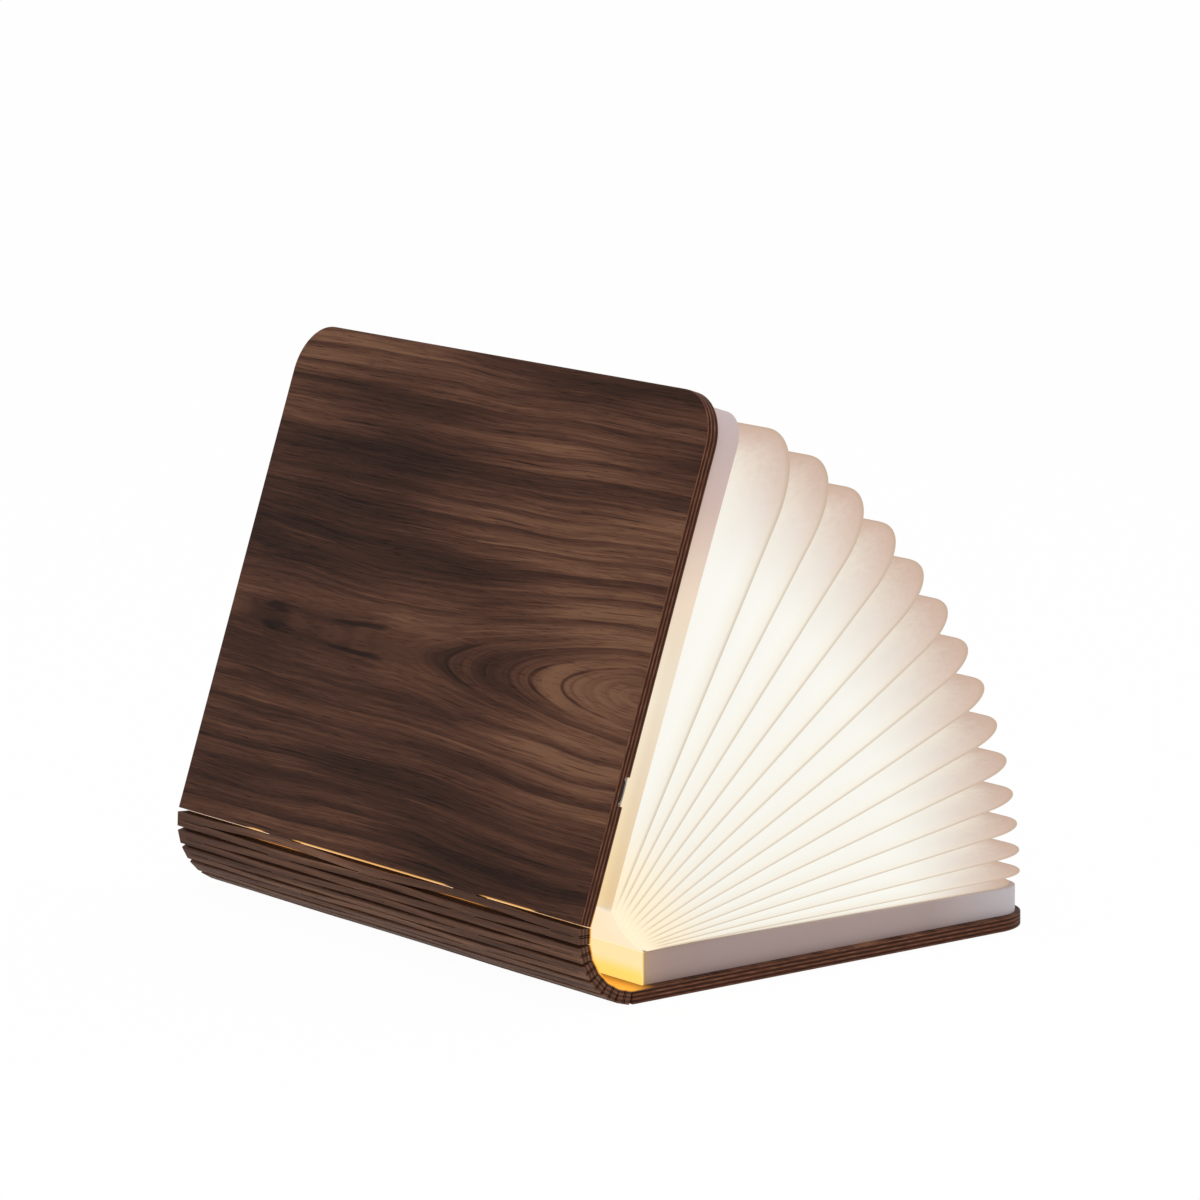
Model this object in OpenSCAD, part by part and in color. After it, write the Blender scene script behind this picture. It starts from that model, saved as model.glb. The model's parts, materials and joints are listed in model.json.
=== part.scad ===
// Folding book lamp. Two walnut-faced plywood covers are joined by a laser-cut spine that bends along seven
// parallel fold lines. A white block stands on the inside of each cover, and a pleated paper bellows is hung
// between the blocks. X runs from the spine to the fore-edge, Y along the spine and Z up. The base cover
// lies on the floor, and the origin is at the middle of its underside.

/* [Covers] */
// Length of the covers along the spine
cover_l = 215; // [190:1:240]
// Width of a cover from its fold line to its fore-edge
cover_w = 163; // [145:1:180]
// Thickness of the plywood
cover_t = 4.5; // [4:0.1:6]
// Thickness of the walnut veneer on each face
veneer_t = 0.6; // [0.4:0.1:1]
// Radius of the two fore-edge corners of a cover
cover_corner_r = 16; // [8:1:24]

/* [Spine] */
// Distance from one fold line to the next
line_pitch = 5; // [4.9:0.1:5.6]
// Width of a laser cut
kerf = 0.3; // [0.25:0.05:0.4]
// Depth of the fold axis below the inner face
axis_depth = 0.45; // [0.3:0.05:0.5]
// Length of wood left between two cuts of a row
bridge_l = 12; // [8:1:16]
// Distance between the bridges of a row
bridge_pitch = 99; // [90:1:110]

/* [Opening] */
// Angle between the covers as the lamp stands
opening = 70.8; // [30:0.1:110]

/* [Blocks] */
// Distance from a cover's fold line to its block
block_start = 6; // [5:0.5:8]
// Distance from a block's sides to the cover's edge
block_inset = 3; // [2:0.5:5]
// Radius of a block's two fore-edge corners
block_corner_r = 10; // [6:1:16]
// Height of the base block at the spine
base_spine_h = 10.1; // [9.5:0.1:10.3]
// Height of the base block at the fore-edge
base_edge_h = 8.2; // [7.8:0.1:9]
// Height of the front block at the spine
front_spine_h = 8.1; // [8:0.1:8.7]
// Height of the front block at the fore-edge
front_edge_h = 10.3; // [10:0.1:10.4]
// Thickness of the trays' walls and floors
wall_t = 1.2; // [1:0.1:1.6]
// Thickness of the lids
lid_t = 1; // [0.8:0.1:1.4]

/* [Bellows] */
// Power of the law that spreads the leaves, above 1 to crowd them towards the base
leaf_droop = 1.45; // [1.2:0.01:1.7]
// Share of the fan's angle below the front block that the law spreads, so the first pleat can be wider
leaf_first = 0.96; // [0.9:0.01:1]
// Distance from a leaf's root to the spine side of the blocks
root_inset = 0.5; // [0.3:0.1:2]
// How far the first leaf stays back from the fore-edge of the covers
leaf_margin = 0; // [0:0.5:6]
// How much longer the middle leaves are than the first
leaf_bulge = 4; // [0:0.5:5]
// Distance from the leaves' sides to the cover's ends
leaf_inset = 2.5; // [2:0.5:6]
// Radius of the two fore-edge corners of a leaf
leaf_corner_r = 16; // [9:1:20]
// Width of the stiff crease round a leaf
crease_w = 6; // [4:0.5:8]
// Depth of a pleat from its crease to its valley
pleat_depth = 33; // [25:1:40]
// Thickness of the bellows' paper
paper_t = 0.08; // [0.07:0.01:0.12]
// Most that the paper is thick between two leaves, where it stands open
pleat_t = 0.25; // [0.15:0.05:0.4]

/* [Light] */
// Distance from the front cover's fold line to the light channel
channel_start = 14; // [12:0.5:20]
// Width of the light channel
channel_w = 14; // [12:0.5:16]
// Length of the light channel
channel_l = 140; // [110:1:150]
// Wall of the light channel
channel_wall = 1; // [0.8:0.1:1.2]
// Width of the light board
light_board_w = 10; // [8:0.5:10]
// Thickness of the circuit boards
board_t = 1; // [0.8:0.1:1.2]
// Number of light chips
chip_count = 24; // [12:1:30]
// Side of a light chip
chip_w = 3; // [2:0.5:3.5]

/* [Power] */
// Distance from the front cover's fold line to the middle of the port
port_x = 41.6; // [41:0.1:50]
// Width of the recess in the front cover at the port
port_recess_w = 9; // [8.8:0.1:12]
// Depth of that recess
port_recess_d = 2; // [1.8:0.1:2.2]
// Width of the charging socket
socket_w = 7.8; // [7.5:0.1:8.5]
// Height of the charging socket
socket_h = 2.7; // [2.5:0.1:2.9]
// Length of the charging socket
socket_l = 6.2; // [5:0.1:7]
// Width of the control board
board_w = 28; // [26:1:28]
// Length of the control board
board_l = 38; // [32:1:44]
// Width of the battery
battery_w = 60; // [50:1:70]
// Length of the battery
battery_l = 96; // [80:1:110]
// Thickness of the battery
battery_t = 5.4; // [4:0.1:5.5]

/* [Ballast and magnets] */
// Width of the steel plate in the base block
ballast_w = 120; // [100:1:126]
// Length of that plate
ballast_l = 150; // [120:1:170]
// Thickness of that plate
ballast_t = 1.5; // [1:0.1:2]
// Diameter of the closing magnets
magnet_d = 8; // [6:0.5:10]
// Thickness of the closing magnets
magnet_t = 2; // [1.5:0.1:2.5]
// Distance from the fore-edge and the ends to a closing magnet
magnet_inset = 14; // [13:0.5:20]
// Side of the small magnet that switches the light
trigger_w = 4; // [3:0.5:5]

/* [Hidden] */
$fn = 64;
LINES = 7;
LEAVES = 14;
STILL = [0, [0, 0]];
CLEAR = 0.05;          // between the paper and a leaf's middle plane
SEAT = 0.3;            // between the leaves' roots and the spine sheet
EPS = 0.5;             // how far a cut runs past the face that it opens

bend_rest = (180 - opening) / LINES;
bend_closed = 180 / LINES;
close_step = bend_closed - bend_rest;
axis_z = cover_t - axis_depth;
half_l = cover_l / 2;
block_end = cover_w - block_inset;
block_half_l = half_l - block_inset;
root_x = block_start + root_inset;
channel_top = min(front_spine_h, front_edge_h) - lid_t;
near_wall_y = -block_half_l + wall_t;
board_x = port_x - board_w / 2 + 1;
battery_x = channel_start + channel_w + 3;
battery_y = near_wall_y + board_l + 8;

walnut = [0.27, 0.17, 0.12];
ply = [0.55, 0.38, 0.25];
white = [0.93, 0.91, 0.88];
cream = [0.98, 0.95, 0.87];

// ---- Moves in the X-Z plane: [turn in degrees, [x, z]]. A positive turn closes the book.

function turned(p, a) = [p.x * cos(a) + p.y * sin(a), p.y * cos(a) - p.x * sin(a)];
function moved(m, p) = turned(p, m[0]) + m[1];
function compose(m, n) = [m[0] + n[0], turned(n[1], m[0]) + m[1]];
function undo(m) = [-m[0], -turned(m[1], -m[0])];
function about(p, a) = [a, p - turned(p, a)];
function mix(a, b, f) = a + (b - a) * f;

module placed(m) {
    translate([m[1].x, 0, m[1].y])
        rotate([0, m[0], 0])
            children();
}

// The spine is drawn flat, with fold line 1 at the base cover, and then folded line by line.
function line_at(k) = [-(k - 1) * line_pitch, axis_z];
function folded(k, bend) =
    k == 0 ? STILL : compose(folded(k - 1, bend), about(line_at(k), bend));
rest_lines = [for (k = [1:LINES]) moved(folded(k - 1, bend_rest), line_at(k))];

// The front cover's move from the standing lamp to the closed book.
function closing(k) =
    k == 0 ? STILL : compose(closing(k - 1), about(rest_lines[k - 1], close_step));

// A leaf turns with its share of the front cover's angle: leaf 0 is the front block's face, and leaf
// LEAVES + 1 is the base block's. Its axis is the mean of the fold lines that its share spans.
function share(i) =
    i == 0 ? 1 : i > LEAVES ? 0 : leaf_first * pow(1 - i / (LEAVES + 1), leaf_droop);
function span(i, n) = max(0, min(LINES * share(i - 1), n + 1) - max(LINES * share(i), n));
function seam_axis(i) =
    let (spans = [for (n = [0:LINES - 1]) span(i, n)])
    (spans * rest_lines) / (LINES * (share(i - 1) - share(i)));
function seam_turn(i) = -LINES * (share(i - 1) - share(i)) * close_step;
function leaf_closing(i) =
    i == 0 ? closing(LINES) : compose(leaf_closing(i - 1), about(seam_axis(i), seam_turn(i)));

// ---- The closed book, in which the leaves lie in one even stack

function taper(spine_h, edge_h, x) =
    mix(spine_h, edge_h, (x - block_start) / (block_end - block_start));
closed_face_z = moved(folded(LINES, bend_closed), [line_at(LINES).x, cover_t]).y;
function stack_z(i, x) =
    mix(closed_face_z - taper(front_spine_h, front_edge_h, x),
        cover_t + taper(base_spine_h, base_edge_h, x), i / (LEAVES + 1));
function leaf_tilt(i) = atan2(stack_z(i, block_end) - stack_z(i, root_x), block_end - root_x);
function leaf_reach(i) =
    cover_w - leaf_margin - root_x + leaf_bulge * sin(180 * i / (LEAVES + 1));

// Where leaf i stands at rest. Its own frame has X from its root outwards and Z along its normal.
leaf_rest = [for (i = [0:LEAVES + 1])
    compose(undo(leaf_closing(i)), [-leaf_tilt(i), [root_x, stack_z(i, root_x)]])];
function on_leaf(i, p, h = 0) =
    let (q = moved(leaf_rest[i], [p.x, h]))
    [q.x, p.y, q.y];

// ---- Shared shapes

// A sheet from x = from to x = to with two rounded corners at its far side.
module rounded_sheet(from, to, half, r) {
    translate([from, -half])
        square([to - r - from, 2 * half]);
    translate([to - r - EPS, -half + r])
        square([r + EPS, 2 * (half - r)]);
    for (side = [-1, 1])
        translate([to - r, side * (half - r)])
            circle(r);
}

module cover_layer(low, high) {
    translate([0, 0, low])
        linear_extrude(high - low)
            rounded_sheet(kerf / 2, cover_w, half_l, cover_corner_r);
}

module block_plan(inset) {
    rounded_sheet(block_start + inset, block_end - inset, block_half_l - inset, block_corner_r - inset);
}

// A slab of a block between two heights at the spine and two at the fore-edge.
module block_slab(inset, low_spine, high_spine, low_edge, high_edge) {
    intersection() {
        linear_extrude(2 * cover_w)
            block_plan(inset);
        rotate([90, 0, 0])
            linear_extrude(cover_l, center = true)
                polygon([[block_start, low_spine], [block_end, low_edge],
                         [block_end, high_edge], [block_start, high_spine]]);
    }
}

module on_base() {
    translate([0, 0, cover_t])
        children();
}

// The front cover and all that it carries are drawn like the base's and put in the mirrored place.
module on_front_cover() {
    placed(folded(LINES, bend_rest))
        translate([line_at(LINES).x, 0, 0])
            mirror([1, 0, 0])
                children();
}

module on_front() {
    on_front_cover()
        on_base()
            children();
}

module block_tray(spine_h, edge_h) {
    difference() {
        block_slab(0, 0, spine_h - lid_t, 0, edge_h - lid_t);
        translate([0, 0, wall_t])
            linear_extrude(spine_h)
                block_plan(wall_t);
    }
}

module block_lid(spine_h, edge_h) {
    block_slab(0, spine_h - lid_t, spine_h, edge_h - lid_t, edge_h);
}

magnet_x = cover_w - magnet_inset;
magnet_y = half_l - magnet_inset;
// The front block is lower towards the spine, so its magnets stay under the lid's lower side there.
front_magnet_h = min(front_edge_h, taper(front_spine_h, front_edge_h, magnet_x - magnet_d / 2));

// The posts stand on a tray's floor and carry the closing magnets under the lid.
module magnet_posts(edge_h) {
    for (side = [-1, 1])
        translate([magnet_x, side * magnet_y, wall_t])
            cylinder(d = magnet_d, h = edge_h - lid_t - magnet_t - wall_t);
}

module closing_magnets(edge_h) {
    for (side = [-1, 1])
        translate([magnet_x, side * magnet_y, edge_h - lid_t - magnet_t])
            cylinder(d = magnet_d, h = magnet_t);
}

// ---- Covers and spine

module base_outer_veneer() {
    color(walnut)
        cover_layer(0, veneer_t);
}

module base_core() {
    color(ply)
        cover_layer(veneer_t, cover_t - veneer_t);
}

module base_inner_veneer() {
    color(walnut)
        cover_layer(cover_t - veneer_t, cover_t);
}

module front_outer_veneer() {
    color(walnut)
        on_front_cover()
            cover_layer(0, veneer_t);
}

// The recess opens the inner side of the front cover's end edge, in front of the charging socket.
recess_l = block_inset + socket_l + 2;

module port_recess() {
    translate([port_x - port_recess_w / 2, -half_l - EPS, cover_t - port_recess_d])
        cube([port_recess_w, recess_l + EPS, port_recess_d + EPS]);
}

module front_core() {
    color(ply)
        on_front_cover()
            difference() {
                cover_layer(veneer_t, cover_t - veneer_t);
                port_recess();
            }
}

module front_inner_veneer() {
    color(walnut)
        on_front_cover()
            difference() {
                cover_layer(cover_t - veneer_t, cover_t);
                port_recess();
            }
}

// A slat lies between fold lines k and k + 1. Its own row of cuts is staggered against theirs: those rows
// run out at both ends and leave a bridge half a pitch from the middle, and this one has its bridges
// at the middle and at the ends.
module slat(k) {
    cut_l = bridge_pitch - bridge_l;
    color(walnut)
        placed(folded(k, bend_rest))
            difference() {
                translate([line_at(k + 1).x + kerf / 2, -half_l, 0])
                    cube([line_pitch - kerf, cover_l, cover_t]);
                for (side = [-1, 1])
                    translate([(line_at(k).x + line_at(k + 1).x - kerf) / 2,
                               side * bridge_pitch / 2 - cut_l / 2, -EPS])
                        cube([kerf, cut_l, cover_t + 2 * EPS]);
            }
}

// ---- Base block

trigger_x = board_x + board_w - trigger_w;
trigger_y = near_wall_y + board_l - trigger_w;
trigger_top = taper(base_spine_h, base_edge_h, trigger_x + trigger_w / 2) - lid_t;

module base_tray() {
    color(white)
        on_base() {
            block_tray(base_spine_h, base_edge_h);
            magnet_posts(base_edge_h);
        }
}

module base_lid() {
    color(white)
        on_base()
            block_lid(base_spine_h, base_edge_h);
}

module ballast_plate() {
    color("dimgray")
        on_base()
            translate([(block_start + block_end - ballast_w) / 2, -ballast_l / 2, wall_t])
                cube([ballast_w, ballast_l, ballast_t]);
}

module base_magnets() {
    color("silver")
        on_base()
            closing_magnets(base_edge_h);
}

// The trigger magnet is glued under the lid, opposite the sensor on the control board.
module trigger_magnet() {
    color("silver")
        on_base()
            translate([trigger_x - trigger_w / 2, trigger_y - trigger_w / 2, trigger_top - magnet_t])
                cube([trigger_w, trigger_w, magnet_t]);
}

// ---- Front block

socket_y = -block_half_l + 0.2;

module front_tray() {
    color(white)
        on_front()
            difference() {
                union() {
                    block_tray(front_spine_h, front_edge_h);
                    magnet_posts(front_magnet_h);
                }
                translate([port_x - port_recess_w / 2, -block_half_l - EPS, -EPS])
                    cube([port_recess_w, recess_l - block_inset + EPS, wall_t + EPS]);
            }
}

module front_lid() {
    color(white)
        on_front()
            difference() {
                block_lid(front_spine_h, front_edge_h);
                translate([channel_start, -channel_l / 2, channel_top - EPS])
                    cube([channel_w, channel_l, 2 * lid_t + EPS]);
            }
}

module front_magnets() {
    color("silver")
        on_front()
            closing_magnets(front_magnet_h);
}

module battery() {
    color("lightsteelblue")
        on_front()
            translate([battery_x, battery_y, wall_t])
                cube([battery_w, battery_l, battery_t]);
}

module control_board() {
    color("darkgreen")
        on_front()
            translate([board_x, near_wall_y, wall_t])
                cube([board_w, board_l, board_t]);
}

// The charger, the driver, a coil and two capacitors on the control board.
board_parts = [[5, 12, 5, 5, 1.2], [13, 12, 6, 6, 2.4], [5, 22, 4, 4, 1.5],
               [14, 24, 3, 3, 1], [20, 6, 3, 5, 1]];

module board_chips() {
    color("black")
        on_front()
            for (part = board_parts)
                translate([board_x + part[0], near_wall_y + part[1], wall_t + board_t])
                    cube([part[2], part[3], part[4]]);
}

// The socket hangs below the control board in the recess, with its mouth at the block's near face.
module usb_socket() {
    shell_t = 0.3;
    tongue_h = 0.6;
    color("silver")
        on_front()
            translate([port_x - socket_w / 2, socket_y, wall_t - socket_h]) {
                difference() {
                    cube([socket_w, socket_l, socket_h]);
                    translate([shell_t, -EPS, shell_t])
                        cube([socket_w - 2 * shell_t, socket_l - 1 + EPS, socket_h - 2 * shell_t]);
                }
                translate([shell_t + 1, 1, socket_h - shell_t - tongue_h])
                    cube([socket_w - 2 * shell_t - 2, socket_l - 1.5, tongue_h]);
            }
}

module hall_sensor() {
    color("black")
        on_front()
            translate([trigger_x - trigger_w / 2, trigger_y - trigger_w / 2, wall_t + board_t])
                cube([trigger_w, trigger_w - 1, 1.5]);
}

// Two short leads join the board to the light channel, and two join it to the battery.
module lead_wires() {
    lead_d = 1.2;
    lead_z = wall_t + board_t + lead_d / 2;
    color("crimson")
        on_front() {
            for (n = [0, 1])
                translate([channel_start + channel_w, near_wall_y + board_l - 6 + 2 * n, lead_z])
                    rotate([0, 90, 0])
                        cylinder(d = lead_d, h = board_x + 2 - channel_start - channel_w);
            for (n = [0, 1])
                translate([board_x + 8 + 2 * n, battery_y, lead_z])
                    rotate([90, 0, 0])
                        cylinder(d = lead_d, h = battery_y - near_wall_y - board_l + 2);
        }
}

// ---- Light

module light_channel() {
    channel_h = channel_top - wall_t;
    color("gainsboro")
        on_front()
            translate([channel_start, -channel_l / 2, wall_t])
                difference() {
                    cube([channel_w, channel_l, channel_h]);
                    translate([channel_wall, -EPS, channel_wall])
                        cube([channel_w - 2 * channel_wall, channel_l + 2 * EPS, channel_h]);
                }
}

light_x = channel_start + channel_w / 2;
light_z = wall_t + channel_wall;

module light_board() {
    color("ivory")
        on_front()
            translate([light_x - light_board_w / 2, -channel_l / 2 + 1, light_z])
                cube([light_board_w, channel_l - 2, board_t]);
}

module light_chips() {
    pitch = (channel_l - 6) / chip_count;
    color("gold")
        on_front()
            for (n = [0:chip_count - 1])
                translate([light_x - chip_w / 2, (n + 0.5 - chip_count / 2) * pitch - chip_w / 2,
                           light_z + board_t])
                    cube([chip_w, chip_w, 0.8]);
}

module light_diffuser() {
    color(cream)
        on_front()
            translate([channel_start, -channel_l / 2, channel_top])
                cube([channel_w, channel_l, lid_t - 0.1]);
}

// ---- Bellows

leaf_half_l = half_l - leaf_inset;

// The crease is a flat U round the leaf's edge: two legs from the root and the fore-edge between them. The
// last leaf lies close above the base block, so its legs start further out and clear the block's edge.
last_crease_start = 12;
module crease(i) {
    reach = leaf_reach(i);
    from = i == LEAVES ? last_crease_start : 0;
    color(cream)
        placed(leaf_rest[i])
            translate([0, 0, -paper_t / 2])
                linear_extrude(paper_t)
                    difference() {
                        rounded_sheet(from, reach, leaf_half_l, leaf_corner_r);
                        rounded_sheet(-EPS, reach - crease_w, leaf_half_l - crease_w,
                                      leaf_corner_r - crease_w);
                    }
}

// A line round the leaf at a given inset from its edge, from the near root to the far one.
pleat_start = 8;
CORNER_STEPS = 5;
function leaf_line(i, inset) =
    let (to = leaf_reach(i) - inset,
         half = leaf_half_l - inset,
         r = max(leaf_corner_r - inset, 2),
         arc = [for (s = [0:CORNER_STEPS])
             [to - r + r * sin(90 * s / CORNER_STEPS), half - r + r * cos(90 * s / CORNER_STEPS)]])
    concat([[pleat_start, -half], [to / 2, -half]],
           [for (p = arc) [p.x, -p.y]],
           [for (s = [CORNER_STEPS:-1:0]) arc[s]],
           [[to / 2, half], [pleat_start, half]]);

// The V-shaped paper between leaf i - 1 and leaf i. Each station has six points: the two ends of the V,
// each with its inner and outer side, the valley's tip and the inside of the fold.
module pleat(i) {
    upper = leaf_line(i - 1, crease_w + SEAT);
    lower = leaf_line(i, crease_w + SEAT);
    upper_valley = leaf_line(i - 1, pleat_depth);
    lower_valley = leaf_line(i, pleat_depth);
    last = len(upper) - 1;
    function gap(s) = norm(on_leaf(i, lower[s]) - on_leaf(i - 1, upper[s]));
    function sheet(s) = min(pleat_t, (gap(s) - 2 * CLEAR) / 3);
    function mouth(s, way) = mix(on_leaf(i - 1, upper[s]), on_leaf(i, lower[s]), way / gap(s));
    function valley(s) = mix(on_leaf(i - 1, upper_valley[s]), on_leaf(i, lower_valley[s]), 0.5);
    function fork(s) = mix(valley(s), mouth(s, gap(s) / 2), min(2 * sheet(s) / gap(s), 0.8));
    points = [for (s = [0:last])
        each [mouth(s, CLEAR), mouth(s, CLEAR + sheet(s)), fork(s),
              mouth(s, gap(s) - CLEAR - sheet(s)), mouth(s, gap(s) - CLEAR), valley(s)]];
    // Both sides of a sheet are cut along the same diagonal, so that its thickness holds where it twists.
    sides = [for (s = [0:last - 1], n = [0:5])
        let (m = (n + 1) % 6, a = 6 * s + n, b = 6 * s + m, inner = n == 1 || n == 2)
        each inner ? [[a, a + 6, b + 6], [a, b + 6, b]] : [[a, a + 6, b], [b, a + 6, b + 6]]];
    near_end = [[0, 1, 2], [0, 2, 5], [5, 2, 3], [5, 3, 4]];
    far_end = [for (f = near_end) [for (n = [2:-1:0]) f[n] + 6 * last]];
    color(cream)
        polyhedron(points, concat(sides, near_end, far_end));
}

// The sheet behind the roots closes the bellows on its spine side, from block to block.
module spine_sheet() {
    sheet_t = 0.15;
    function lift(i) = i > LEAVES ? CLEAR : 0;
    front_side = [for (i = [0:LEAVES + 1]) on_leaf(i, [-SEAT, 0], lift(i))];
    back_side = [for (i = [LEAVES + 1:-1:0]) on_leaf(i, [-SEAT - sheet_t, 0], lift(i))];
    color("white")
        rotate([90, 0, 0])
            linear_extrude(2 * leaf_half_l, center = true)
                polygon([for (q = concat(front_side, back_side)) [q.x, q.z]]);
}

// ---- Assembly, moved so that the middle of the base cover's underside is the origin

module at_origin() {
    translate([-cover_w / 2, 0, 0])
        children();
}

at_origin() base_outer_veneer();
at_origin() base_core();
at_origin() base_inner_veneer();
at_origin() front_outer_veneer();
at_origin() front_core();
at_origin() front_inner_veneer();
for (k = [1:LINES - 1])
    at_origin() slat(k);
at_origin() base_tray();
at_origin() base_lid();
at_origin() ballast_plate();
at_origin() base_magnets();
at_origin() trigger_magnet();
at_origin() front_tray();
at_origin() front_lid();
at_origin() front_magnets();
at_origin() battery();
at_origin() control_board();
at_origin() board_chips();
at_origin() usb_socket();
at_origin() hall_sensor();
at_origin() lead_wires();
at_origin() light_channel();
at_origin() light_board();
at_origin() light_chips();
at_origin() light_diffuser();
at_origin() spine_sheet();
for (i = [1:LEAVES])
    at_origin() crease(i);
for (i = [1:LEAVES + 1])
    at_origin() pleat(i);
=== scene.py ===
# %% [markdown]
# # A folding book lamp
# The lamp is a hardback book made of walnut plywood. Its spine is cut into slats that bend, and between
# the covers stands a fan of pleated paper with a light inside. The lesson builds each piece as a surface
# worked out with numpy, around solids that carry the joints.

# %% Load the solids that carry the joints
import json
import math

import bpy
import numpy as np
from mathutils import Matrix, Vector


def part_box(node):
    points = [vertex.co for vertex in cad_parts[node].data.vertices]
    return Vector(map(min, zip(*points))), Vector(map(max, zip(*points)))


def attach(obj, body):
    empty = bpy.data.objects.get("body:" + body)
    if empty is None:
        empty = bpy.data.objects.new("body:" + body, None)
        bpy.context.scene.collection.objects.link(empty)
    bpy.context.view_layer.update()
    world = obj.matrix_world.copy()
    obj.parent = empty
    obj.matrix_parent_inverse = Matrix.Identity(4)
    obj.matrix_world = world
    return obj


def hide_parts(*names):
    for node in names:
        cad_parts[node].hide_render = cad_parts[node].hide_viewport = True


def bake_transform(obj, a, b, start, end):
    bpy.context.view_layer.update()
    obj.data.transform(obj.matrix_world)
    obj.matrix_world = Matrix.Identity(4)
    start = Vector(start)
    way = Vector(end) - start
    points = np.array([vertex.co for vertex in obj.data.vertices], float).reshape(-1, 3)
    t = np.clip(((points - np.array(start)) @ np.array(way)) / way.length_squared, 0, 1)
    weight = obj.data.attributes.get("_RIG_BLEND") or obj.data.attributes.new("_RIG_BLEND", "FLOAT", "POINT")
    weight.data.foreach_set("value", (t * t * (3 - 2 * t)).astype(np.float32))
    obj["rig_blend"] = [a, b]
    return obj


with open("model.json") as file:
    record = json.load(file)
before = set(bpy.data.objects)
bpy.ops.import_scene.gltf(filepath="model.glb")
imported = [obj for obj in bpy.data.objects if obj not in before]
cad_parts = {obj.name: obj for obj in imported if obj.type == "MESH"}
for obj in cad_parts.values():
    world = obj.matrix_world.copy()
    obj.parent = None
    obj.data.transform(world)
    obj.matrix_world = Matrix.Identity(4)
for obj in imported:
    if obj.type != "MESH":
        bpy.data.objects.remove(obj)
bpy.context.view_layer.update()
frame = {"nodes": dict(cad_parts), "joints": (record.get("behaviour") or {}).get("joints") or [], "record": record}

# %% [markdown]
# ## Sizes
# All lengths are in millimetres and become metres only when a mesh is made. The covers' size, the fold
# lines and the seams come from the solids and joints. The few thicknesses that a box can't tell are named.

# %% Sizes and places
MM = 0.001
joints = {j["name"]: j for j in frame["joints"]}
couplings = {c["joint"]: c["ratio"] for c in frame["record"]["behaviour"]["couplings"]}
SLATS = sum(name.startswith("slat_") for name in joints)
LEAVES = sum(name.startswith("seam_") for name in joints)
LINES = SLATS + 1

base_low, base_high = (np.array(corner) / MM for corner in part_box("base_core"))
kerf = 0.3
half_l = base_high[1]
hinge_x = base_low[0] - kerf / 2
cover_w = base_high[0] - hinge_x
cover_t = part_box("base_inner_veneer")[1][2] / MM
veneer_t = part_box("base_outer_veneer")[1][2] / MM
corner_r = 16.0
line_pitch = 5.0
axis_depth = 0.45
axis_z = cover_t - axis_depth

closing = joints["cover_hinge"]["range_deg"][1]
close_step = closing * couplings["slat_1_hinge"]
bend_closed = 180 / LINES
bend_rest = bend_closed - close_step
opening = LINES * close_step
print(f"cover {cover_w:.1f} x {2 * half_l:.1f} x {cover_t:.1f} mm, open {opening:.1f} degrees")


# %% [markdown]
# ## Moves in the plane of the covers' ends
# Every joint turns about an axis along Y, so a move is a turn and a shift in the X-Z plane: a 3 x 3 matrix.
# A positive turn closes the book.

# %% Moves
def turn_about(centre, degrees):
    """The move that turns the X-Z plane about a centre: p goes to centre + R (p - centre)."""
    c, s = math.cos(math.radians(degrees)), math.sin(math.radians(degrees))
    move = np.array([[c, s, 0.0], [-s, c, 0.0], [0.0, 0.0, 1.0]])
    move[:2, 2] = np.array(centre) - move[:2, :2] @ np.array(centre)
    return move


def shift_by(x, z):
    """The move that only shifts."""
    return np.array([[1.0, 0.0, x], [0.0, 1.0, z], [0.0, 0.0, 1.0]])


def carry(move, points):
    """Points (..., 3) carried by one move of the X-Z plane. Y stays."""
    out = np.array(points, float)
    xz = out[..., [0, 2]] @ move[:2, :2].T + move[:2, 2]
    out[..., 0], out[..., 2] = xz[..., 0], xz[..., 1]
    return out


def flat_line(k):
    """Fold line k on the book laid flat open, where x is measured from fold line 1."""
    return np.array([-(k - 1) * line_pitch, axis_z])


def folded(k, bend=bend_rest):
    """From the flat book to the standing one, for what lies beyond k fold lines."""
    move = shift_by(hinge_x, 0)
    for n in range(1, k + 1):
        move = move @ turn_about(flat_line(n), bend)
    return move


front_place = folded(LINES)
front_x = -(LINES - 1) * line_pitch
front_corner = carry(front_place, [front_x - cover_w, 0, 0])
front_box = np.array(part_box("front_outer_veneer")) / MM
assert abs(front_corner[2] - front_box[1][2]) < 1, (front_corner, front_box)
print("the front cover's fore-edge stands at", front_corner.round(1).tolist())


# %% [markdown]
# ## From arrays to meshes
# A surface here is a grid of points: rings of a closed profile, one after the other. One function turns
# such a grid into quads, closes its ends, and turns the faces outwards by the sign of the volume.

# %% Meshes from grids
def grid_faces(rings, points, closed_round=True):
    """Quads between neighbouring rings. Ring r's point p has the number r * points + p."""
    r, p = np.meshgrid(np.arange(rings - 1), np.arange(points if closed_round else points - 1), indexing="ij")
    q = (p + 1) % points
    quads = np.stack([r * points + p, r * points + q, (r + 1) * points + q, (r + 1) * points + p], -1)
    return quads.reshape(-1, 4).tolist()


def signed_volume(points, faces):
    """The volume inside the faces, negative where they face inwards: the sum of a . (b x c) / 6."""
    total = 0.0
    for size in {len(f) for f in faces}:
        f = np.array([face for face in faces if len(face) == size])
        for n in range(1, size - 1):
            a, b, c = points[f[:, 0]], points[f[:, n]], points[f[:, n + 1]]
            total += np.einsum("ij,ij->i", a, np.cross(b, c)).sum() / 6
    return total


def facing_out(points, faces):
    """The same faces, all turned over where they enclose a negative volume."""
    return [f[::-1] for f in faces] if signed_volume(points, faces) < 0 else faces


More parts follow.
